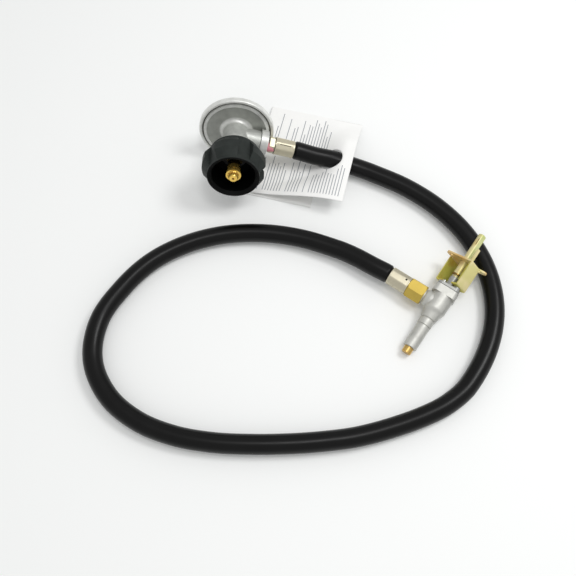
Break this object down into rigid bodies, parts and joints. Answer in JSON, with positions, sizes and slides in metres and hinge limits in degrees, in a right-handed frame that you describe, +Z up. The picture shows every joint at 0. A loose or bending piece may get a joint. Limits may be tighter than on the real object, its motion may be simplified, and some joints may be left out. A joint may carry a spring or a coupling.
{
  "type": "propane regulator hose",
  "caption": "Low-pressure gas regulator with a hand-tightened cylinder nut, a rubber hose with crimped ends, and a push-to-turn burner valve on a sheet-metal bracket.",
  "frame": {"origin": "on the table, under the middle of the metal pieces' box", "axes": "+Z is up from the table; +Y points from the cylinder nut's mouth back to the regulator's bonnet, level; +X points from the regulator toward the valve's side"},
  "size_m": [0.3122, 0.2951, 0.0642],
  "materials": {
    "body_casting": "die-cast, satin, with bright machined edges",
    "bonnet_metal": "satin, pale",
    "cap_plastic": "matte",
    "plug_brass": "plain",
    "spring_steel": "drawn wire",
    "diaphragm_rubber": "matte",
    "plated_steel": "plated",
    "lever_brass": "stamped",
    "seat_rubber": "matte",
    "screen_steel": "woven",
    "nut_plastic": "satin",
    "bushing_plastic": "matte",
    "nipple_brass": "turned, bright",
    "fitting_brass": "turned, pale",
    "sealant": "dried paste",
    "ferrule_steel": "pressed, satin",
    "hose_rubber": "smooth, satin",
    "flare_brass": "machined, bright",
    "leaflet_paper": "uncoated",
    "valve_casting": "die-cast, matte",
    "orifice_brass": "turned",
    "gasket": "matte",
    "screw_steel": "plated",
    "stem_zinc": "yellow zinc plate",
    "clip_brass": "plain",
    "bracket_zinc": "yellow zinc plate"
  },
  "bodies": {
    "housing": {"regulator_body": "body_casting", "bonnet": "bonnet_metal", "bonnet_cap": "cap_plastic", "adjusting_plug": "plug_brass", "main_spring": "spring_steel", "diaphragm": "diaphragm_rubber", "lever_pin": "plated_steel", "inlet_nozzle": "nipple_brass", "vent_screen": "screen_steel", "thermal_bushing": "bushing_plastic", "inlet_nipple": "nipple_brass", "check_spring": "spring_steel", "outlet_fitting": "fitting_brass", "thread_sealant": "sealant", "regulator_ferrule": "ferrule_steel", "hose": "hose_rubber", "valve_ferrule": "ferrule_steel", "hose_tail": "flare_brass", "flare_nut": "flare_brass", "instruction_leaflet": "leaflet_paper", "valve_body": "valve_casting", "orifice": "orifice_brass", "plug_spring": "spring_steel", "cap_gasket": "gasket", "valve_cap": "valve_casting", "cap_screw_upper": "screw_steel", "cap_screw_lower": "screw_steel", "bracket": "bracket_zinc"},
    "hand_nut": {"hand_nut": "nut_plastic"},
    "plate": {"diaphragm_plate": "plated_steel"},
    "lever": {"lever": "lever_brass"},
    "plunger": {"seat_plunger": "nipple_brass", "seat_disc": "seat_rubber"},
    "poppet": {"check_poppet": "nipple_brass"},
    "plug": {"valve_plug": "nipple_brass"},
    "stem": {"stem": "stem_zinc", "stem_pin": "plated_steel", "stem_clip": "clip_brass"}
  },
  "joints": [
    {"name": "nut_turn", "type": "hinge", "parent": "housing", "child": "hand_nut", "pos_m": [-0.0807, 0.03801, 0.0394], "axis": [0, -0.969, 0.247], "continuous": true},
    {"name": "plate_lift", "type": "slide", "parent": "housing", "child": "plate", "axis": [0, 0.969, -0.247], "range_m": [0, 0.0012], "stiffness_N_per_m": 2000, "deforming": ["diaphragm", "main_spring"]},
    {"name": "lever_rock", "type": "hinge", "parent": "housing", "child": "lever", "pos_m": [-0.06495, 0.07381, 0.02519], "axis": [-0.2982, -0.2358, -0.9249], "range_deg": [0, 4.2]},
    {"name": "plunger_slide", "type": "slide", "parent": "housing", "child": "plunger", "axis": [-0.9545, 0.0737, 0.289], "range_m": [0, 0.000416]},
    {"name": "poppet_open", "type": "slide", "parent": "housing", "child": "poppet", "axis": [0, 0.969, -0.247], "range_m": [0, 0.0015], "stiffness_N_per_m": 80, "deforming": ["check_spring"]},
    {"name": "plug_turn", "type": "hinge", "parent": "housing", "child": "plug", "pos_m": [0.07207, -0.06449, 0.01081], "axis": [0.5691, 0.8104, 0.1392], "range_deg": [0, 210]},
    {"name": "stem_push", "type": "slide", "parent": "plug", "child": "stem", "axis": [-0.5691, -0.8104, -0.1392], "range_m": [0, 0.002], "stiffness_N_per_m": 1500, "deforming": ["plug_spring"]}
  ],
  "couplings": [
    {"joint": "lever_rock", "follows": "plate_lift", "rad_per_m": 60.606},
    {"joint": "plunger_slide", "follows": "plate_lift", "ratio": 0.34546}
  ]
}
